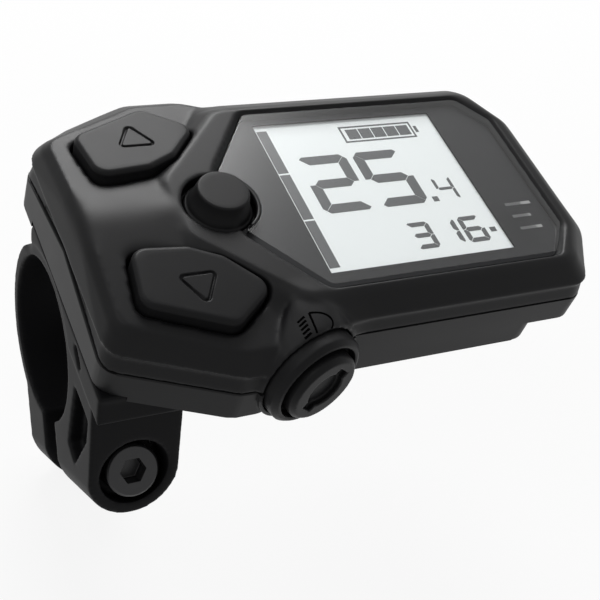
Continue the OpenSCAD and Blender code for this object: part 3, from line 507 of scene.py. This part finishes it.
# Panel: a reflective liquid crystal cell behind the window. Its picture is a polariser's dark grey
# on white: a battery, three level bars, a large number with a smaller tenth, and a small number
# of three figures with a pointer beside it.
panel_white = moulding("panel_white", (0.93, 0.94, 0.94), 0.55, 0.3, 0.001, spot=20, spread=0.01)
finish(panel_white, "lcd_panel")


def flat_marks(name, outlines, low, high, material):
    """Closed plates between two levels in mm, one for each outline of points that runs anticlockwise."""
    points, faces = [], []
    for outline in outlines:
        n, start = len(outline), len(points)
        points += [(x, y, low) for x, y in outline] + [(x, y, high) for x, y in outline]
        ring = np.arange(n)
        after = (ring + 1) % n
        faces.append((start + ring[::-1]).tolist())
        faces.append((start + n + ring).tolist())
        faces += (start + np.stack([ring, after, n + after, n + ring], -1)).tolist()
    mesh = bpy.data.meshes.new(name)
    mesh.from_pydata((np.array(points) * mm).tolist(), [], faces)
    mesh.update()
    return placed(name, mesh, material)


def block(x, y, wide, high):
    """A rectangle from its lower left corner."""
    return [(x, y), (x + wide, y), (x + wide, y + high), (x, y + high)]


lit = {1: "bc", 2: "abdeg", 3: "abcdg", 4: "bcfg", 5: "acdfg", 6: "acdefg"}
cut_share = 0.55


def figure(value, x, y, wide, high, stroke, gap):
    """The lit bars of a seven-bar figure: bars with mitred ends and a gap between them, whose outer
    corners are cut by a share of the stroke."""
    m, half, cut = high / 2, stroke / 2, stroke * cut_share
    near, low = cut / 2 + gap / 2, high - cut / 2
    top = [(cut + gap, high), (near, low), (stroke + gap, high - stroke),
           (wide - stroke - gap, high - stroke), (wide - near, low), (wide - cut - gap, high)]
    right = [(wide, high - cut - gap), (wide - cut / 2, low - gap), (wide - stroke, high - stroke - gap),
             (wide - stroke, m + half + gap), (wide - half, m + gap), (wide, m + gap)]
    middle = [(half + gap, m), (stroke + gap, m - half), (wide - stroke - gap, m - half),
              (wide - half - gap, m), (wide - stroke - gap, m + half), (stroke + gap, m + half)]
    bars = {
        "a": top, "b": right, "g": middle,
        "c": [(u, high - v) for u, v in reversed(right)],
        "d": [(u, high - v) for u, v in reversed(top)],
        "e": [(wide - u, high - v) for u, v in right],
        "f": [(wide - u, v) for u, v in reversed(right)]}
    return [[(x + u, y + v) for u, v in bars[bar]] for bar in lit[value]]


def figures(values, x, y, step, **form):
    """The lit bars of figures a step apart, from the lower left corner of the first."""
    return [bar for k, value in enumerate(values) for bar in figure(value, x + k * step, y, **form)]


level_x, level_y, level_w, level_h, level_gap = 23.62, -13.98, 1.5, 8.05, 0.3
level_bars = [block(level_x, level_y + k * (level_h + level_gap), level_w, level_h) for k in range(3)]
cell_x, cell_y, cell_w, cell_h, cell_line = 36.0, 7.3, 11.6, 3.15, 0.28
nub_foot, nub_w, nub_h = 0.3 * cell_h, 0.5, 0.4 * cell_h
charge_start, charge_inset, charge_w, charge_gap = 3 * cell_line, 2.2 * cell_line, 1.9, 0.16
battery = [
    block(cell_x, cell_y, cell_w, cell_line), block(cell_x, cell_y + cell_h - cell_line, cell_w, cell_line),
    block(cell_x, cell_y + cell_line, cell_line, cell_h - 2 * cell_line),
    block(cell_x + cell_w - cell_line, cell_y + cell_line, cell_line, cell_h - 2 * cell_line),
    block(cell_x + cell_w + cell_line, cell_y + nub_foot, nub_w, nub_h)]
battery += [block(cell_x + charge_start + k * (charge_w + charge_gap), cell_y + charge_inset,
                  charge_w, cell_h - 2 * charge_inset) for k in range(5)]
large_y = -5.1
large = figures((2, 5), 27.1, large_y, step=8.5, wide=7.5, high=10.4, stroke=1.55, gap=0.05)
point = [block(43.85, large_y, wide=0.9, high=0.9)]
tenth = figure(4, 45.35, large_y, wide=2.95, high=4.3, stroke=0.48, gap=0.06)
small = figures((3, 1, 6), 37.35, -12.95, step=4.05, wide=3.45, high=4.6, stroke=0.74, gap=0.06)
pointer = [block(49.55, -11.55, wide=0.95, high=0.8)]
crystal_grey = moulding("crystal_grey", (0.055, 0.055, 0.058), 0.6, 0.4, 0.001, spot=3, spread=0.1)
panel_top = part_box("lcd_panel")[1].z / mm
picture_sink, picture_rise = 0.01, 0.02
picture = flat_marks("panel_picture", level_bars + battery + large + point + tenth + small + pointer,
                     panel_top - picture_sink, panel_top + picture_rise, crystal_grey)
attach(picture, "case")

# Marks on the glass: three short plain bars, screen printed in grey beside the panel's pointer.
# They lie in the glass and end level with its top.
mark_x, mark_h, mark_film = 52.9, 0.5, 0.012
mark_bars = [block(mark_x, y, wide, mark_h) for y, wide in ((-8.7, 4.2), (-10.9, 3.0), (-13.1, 3.6))]
mark_ink = moulding("mark_ink", (0.3, 0.3, 0.3), 0.5, 0.3, 0.001, spot=3)
glass_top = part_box("display_window")[1].z / mm
marks = flat_marks("glass_marks", mark_bars, glass_top - mark_film, glass_top, mark_ink)
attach(marks, "case")

# Thumb keys: two satin mouldings with a flat top, a soft rim and a sunk outline arrow. Each has a
# flange under the deck that holds it in, and a post that presses the switch.
key_black = moulding("key_black", (0.007, 0.007, 0.0075), 0.44, 0.14, 0.005, sheen=0.1)
deck_z, mid_y, key_proud, key_deg = 25.5, -2.4, 1.2, 5.6
key_outline = np.array([(0.054, 0), (0.48, 0.053), (0.715, 0.21), (1, 0.63), (0.63, 1), (0, 0.635)])
key_start, key_size, key_corner = (-1.95, 5.95), (16.8, 12.7), 2.1
rim_r, wall_depth, flange_t, flange_w = 0.7, 4.3, 0.8, 0.8
post_y, post_r, tip_r = 12.2, 1.6, 0.02
arrow_place, arrow_half, arrow_round, arrow_reach = np.array((5.78, 12.3)), 2.1, 0.45, 3.0
arrow_line, arrow_edge, arrow_depth = 0.34, 0.1, 0.32
rim_steps, top_steps, arrow_steps = 7, 6, 44


def rounded_outline(points, radius, inset):
    """A convex outline with round corners, drawn in by the inset. Each corner is an arc about the
    point that lies the radius inside both sides, and each straight is cut into equal steps."""
    arc, straight = 8, 26
    before, after = np.roll(points, 1, 0), np.roll(points, -1, 0)

    def outward(a, b):
        side = b - a
        return np.stack([side[:, 1], -side[:, 0]], -1) / np.linalg.norm(side, axis=1)[:, None]

    first, second = outward(before, points), outward(points, after)
    middle = (first + second) / (1 + (first * second).sum(1))[:, None]
    centre = points - radius * middle
    start = np.arctan2(first[:, 1], first[:, 0])
    turn = np.mod(np.arctan2(second[:, 1], second[:, 0]) - start, 2 * np.pi)
    angle = start[:, None] + turn[:, None] * np.linspace(0, 1, arc)
    bend = centre[:, None] + (radius - inset) * np.stack([np.cos(angle), np.sin(angle)], -1)
    share = np.linspace(0, 1, straight + 2)[1:-1, None]
    run = bend[:, -1, None] * (1 - share) + np.roll(bend, -1, 0)[:, 0, None] * share
    return np.concatenate([bend, run], 1).reshape(-1, 2)


def arrow_distance(points):
    """Distance from the line of a triangle with round corners: the sides are three straight lines
    at equal angles, folded on to one of them, less the corner radius."""
    root = np.sqrt(3)
    r = arrow_half - arrow_round
    x, y = np.abs(points[..., 0]) - r, points[..., 1] + r / root
    fold = x + root * y > 0
    x, y = np.where(fold, (x - root * y) / 2, x), np.where(fold, (-root * x - y) / 2, y)
    x = x - np.clip(x, -2 * r, 0)
    return np.abs(-np.hypot(x, y) * np.sign(y) - arrow_round)


def thumb_key(name, node, side):
    """Rings of points, each with its height over the top, from the post's foot over the flange, up the
    wall, round the rim and in to the arrow's centre. On the top the rings sink where they cross the
    arrow's line. The whole is then tilted to fall away from the pod's middle line, to the side that
    the last value gives."""
    outline = key_outline * key_size + key_start
    foot, flange_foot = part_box(node)[0].z / mm - deck_z - key_proud, -wall_depth - flange_t
    post = np.array((key_start[0] + key_size[0] / 2, post_y))
    reach = rounded_outline(outline, key_corner, 0) - post
    circle = reach / np.linalg.norm(reach, axis=1)[:, None]
    rings = [(post + circle * r, level) for r, level in
             ((tip_r, foot), (post_r, foot), (post_r, flange_foot))]
    for inset, level in ((-flange_w, flange_foot), (-flange_w, -wall_depth), (0, -wall_depth)):
        rings.append((rounded_outline(outline, key_corner, inset), level))
    for turn in np.linspace(0, np.pi / 2, rim_steps):
        ring = rounded_outline(outline, key_corner, rim_r * (1 - np.cos(turn)))
        rings.append((ring, rim_r * (np.sin(turn) - 1)))
    top = rings[-1][0] - arrow_place
    reach = np.linalg.norm(top, axis=1)[:, None]
    for share in np.linspace(0, 1, top_steps)[1:]:
        rings.append((arrow_place + top * ((1 - share) + share * arrow_reach / reach), 0))
    for r in np.linspace(arrow_reach, tip_r, arrow_steps)[1:]:
        ring = top / reach * r
        line = np.clip(((arrow_line + arrow_edge) / 2 - arrow_distance(ring)) / arrow_edge, 0, 1)
        rings.append((arrow_place + ring, -arrow_depth * line * line * (3 - 2 * line)))
    flat = np.stack([np.column_stack([ring, np.broadcast_to(level, len(ring))]) for ring, level in rings])
    x, y, z = np.moveaxis(flat, -1, 0)
    tilt = np.radians(-key_deg)
    over, up = y * np.cos(tilt) - z * np.sin(tilt), y * np.sin(tilt) + z * np.cos(tilt)
    solid = np.stack([x, mid_y + side * over, up + deck_z + key_proud], -1) * mm
    if side < 0:
        solid = solid[:, ::-1]
    stand_in(placed(name, grid_mesh(name, solid, tube=True), key_black), node)


thumb_key("up_key", "up_button", 1)
thumb_key("down_key", "down_button", -1)

# Round buttons: the mode button is a turned cap in a dark well between the keys. On the side of the
# glass the well's edge is a thin lip of its own. The light button stands in a collar in the front
# wall, and both are eased copies.


def turned(name, profile, middle):
    """A form of revolution about an upright axis: the profile of (radius, height) points, from the
    axis at its foot to the axis at its top, is carried round the middle in equal steps."""
    steps = 96
    angle = np.linspace(0, 2 * np.pi, steps, endpoint=False)
    r, z = profile.T
    rings = np.stack([middle[0] + r[:, None] * np.cos(angle), middle[1] + r[:, None] * np.sin(angle),
                      np.broadcast_to(z[:, None], (len(z), steps))], -1)
    return grid_mesh(name, rings * mm, tube=True)


def bend(centre, radius, start, stop):
    """Seven points of an arc in a profile, between two angles in degrees."""
    angle = np.radians(np.linspace(start, stop, 7))
    return np.array(centre) + radius * np.stack([np.cos(angle), np.sin(angle)], -1)


mode_low, mode_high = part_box("mode_button")
mode_x, flange_r = (mode_low.x + mode_high.x) / 2 / mm, (mode_high.x - mode_low.x) / 2 / mm
mode_foot, mode_top = mode_low.z / mm, mode_high.z / mm
skirt_r, root_r, top_r, mode_round = 4.4, 3.95, 3.35, 0.3
flange_low, flange_high, root_z, root_rise = 22.35, 23.15, deck_z - 0.8, 0.15
mode_profile = np.concatenate([
    [(tip_r, mode_foot), (post_r, mode_foot), (post_r, flange_low), (flange_r, flange_low),
     (flange_r, flange_high), (skirt_r, flange_high)],
    bend((skirt_r - mode_round, root_z - mode_round), mode_round, 0, 80),
    [(root_r, root_z + root_rise)],
    bend((top_r - mode_round, mode_top - mode_round), mode_round, 8, 90),
    [(r, mode_top) for r in (2.4, 1.2, tip_r)]])
mode_cap = placed("mode_cap", turned("mode_cap", mode_profile, (mode_x, mid_y)), key_black)
stand_in(mode_cap, "mode_button")
lip_low, lip_inner, lip_outer, lip_edge, lip_turn = deck_z - 1.3, 4.78, 5.24, 0.1, 58
lip_section = np.array([
    (lip_inner, lip_low), (lip_outer, lip_low), (lip_outer, deck_z - lip_edge),
    (lip_outer - lip_edge, deck_z), (lip_inner + lip_edge, deck_z), (lip_inner, deck_z - lip_edge)])
lip_angle = np.radians(np.linspace(-lip_turn, lip_turn, 49))[:, None]
lip_r, lip_z = lip_section.T
lip_rings = np.stack([mode_x + lip_r * np.cos(lip_angle), mid_y + lip_r * np.sin(lip_angle),
                      np.broadcast_to(lip_z, (len(lip_angle), len(lip_z)))], -1)
mode_lip = placed("mode_lip", grid_mesh("mode_lip", lip_rings[:, ::-1] * mm, tube=True), case_black)
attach(mode_lip, "case")
moulded("light_button", "light_cap", key_black, 0.13, 3)
moulded("light_collar", "light_ring", key_black, 0.13, 3)

# Pictogram: a headlamp on the cowl above its button, as a half-round lens and five rays. The lines
# are flat and lie in the skin of the upper shell; their near black is painted shade for sunk lines.
lens_x, lens_y, lens_deep, lens_half = 17.3, -22.4, 2.45, 1.5
line_r, line_flat, drop_height = 0.16, 0.12, deck_z + 5
ray_x, ray_y, ray_along, ray_down, ray_step = lens_x - 0.7, lens_y + 1.2, -0.95, -0.45, 0.56
lens_points, side_points, ray_points = 33, 13, 9
turn = np.linspace(-np.pi / 2, np.pi / 2, lens_points)
lens = np.stack([lens_x + lens_deep * np.cos(turn), lens_y + lens_half * np.sin(turn)], -1)
side = np.stack([np.full(side_points, lens_x),
                 np.linspace(lens_half, -lens_half, side_points) + lens_y], -1)
rays = [np.stack([np.linspace(0, ray_along, ray_points) + ray_x,
                  np.linspace(0, ray_down, ray_points) + ray_y - ray_step * k], -1) for k in range(5)]
skin = skin_of(upper_shell.data)


def drawn_line(name, path):
    """A thin line whose middle follows the path dropped on to the shell's skin: a flat ellipse of
    eight points is carried along it, square to its run."""
    hits = [skin.ray_cast(Vector((x, y, drop_height)) * mm, Vector((0, 0, -1)))[0] for x, y in path]
    middle = np.array([tuple(hit) for hit in hits if hit is not None])
    run = np.gradient(middle, axis=0)
    run /= np.linalg.norm(run, axis=1)[:, None]
    across = np.cross(run, (0, 0, 1))
    across /= np.linalg.norm(across, axis=1)[:, None]
    over = np.cross(across, run) * line_flat
    turn = np.linspace(0, 2 * np.pi, 8, endpoint=False)[:, None]
    rings = middle[:, None] + line_r * mm * (np.cos(turn) * across[:, None] + np.sin(turn) * over[:, None])
    return grid_mesh(name, rings[:, ::-1], tube=True)


# Painted shade: a matt near black with no sheen, darker than the case, standing for the shadow in sunk
# lines.
groove_shade_black = moulding("groove_shade_black", (0.001, 0.001, 0.001), 0.9, 0.2, 0.001, sheen=0.0)
for count, path in enumerate([lens, side, *rays]):
    line = placed(f"lamp_sign_{count}", drawn_line(f"lamp_sign_{count}", path), groove_shade_black)
    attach(line, "case")

# Boards and small parts inside: lacquered boards on bosses, moulded chips and switches, an amber
# ribbon from the panel, the white light guide, the cord seals and the cable socket with its pins.
finish(moulding("board_lacquer", (0.03, 0.16, 0.07), 0.3, 0.6, 0.01, spot=2, spread=0.25),
       "main_board", "switch_board", "light_board")
finish(moulding("chip_black", (0.03, 0.03, 0.03), 0.6, 0.2, 0.006),
       "board_parts", "key_switches", "light_switch")
finish(moulding("ribbon_amber", (0.5, 0.26, 0.06), 0.35, 0.5, 0.004, spot=1.5),
       "lcd_ribbon", "board_ribbon")
finish(moulding("guide_white", (0.82, 0.82, 0.8), 0.4, 0.4, 0.003), "lcd_frame")
finish(moulding("seal_black", (0.03, 0.03, 0.03), 0.75, 0.3, 0.01), "case_seal", "mode_seal")
finish(moulding("socket_black", (0.02, 0.02, 0.02), 0.5, 0.25, 0.006), "cable_socket")
finish(moulding("pin_gold", (0.83, 0.62, 0.25), 0.25, 0.4, 0.002, metal=1.0), "socket_contacts")
